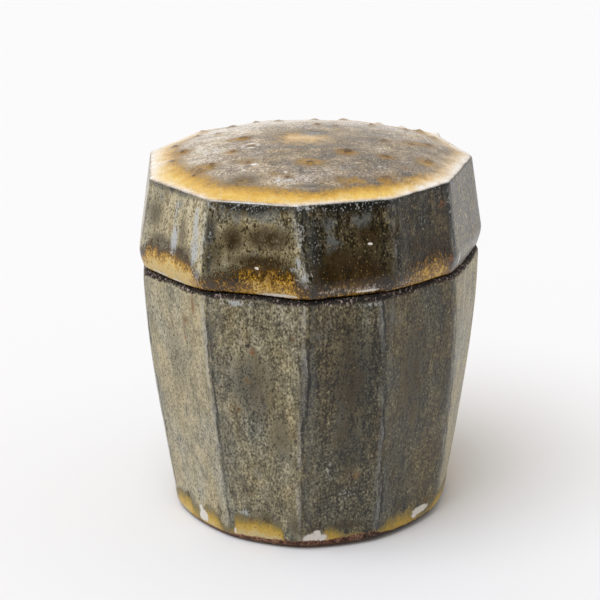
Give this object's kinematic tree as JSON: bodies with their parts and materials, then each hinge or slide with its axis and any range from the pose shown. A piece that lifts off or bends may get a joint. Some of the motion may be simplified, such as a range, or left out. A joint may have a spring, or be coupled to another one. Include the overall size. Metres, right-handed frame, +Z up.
{
  "type": "faceted jar",
  "caption": "Small lidded stoneware jar with upright facets, an ash glaze, a cap lid over an inner collar and a bare clay foot.",
  "frame": {"origin": "middle of the foot, on the surface the jar stands on", "axes": "+Z up along the line the jar was thrown on, the front of the picture faces -Y, +X to its right"},
  "size_m": [0.0851, 0.0855, 0.0942],
  "materials": {
    "body_glaze": "satin ash glaze, olive grey with amber pools at the foot",
    "lid_glaze": "glossy ash glaze, grey with amber bands"
  },
  "bodies": {
    "jar": {"jar_body": "body_glaze"},
    "lid": {"lid": "lid_glaze"}
  },
  "joints": [
    {"name": "lid_lift", "type": "slide", "parent": "jar", "child": "lid", "axis": [0, 0, 1], "range_m": [0, 0.06]}
  ]
}
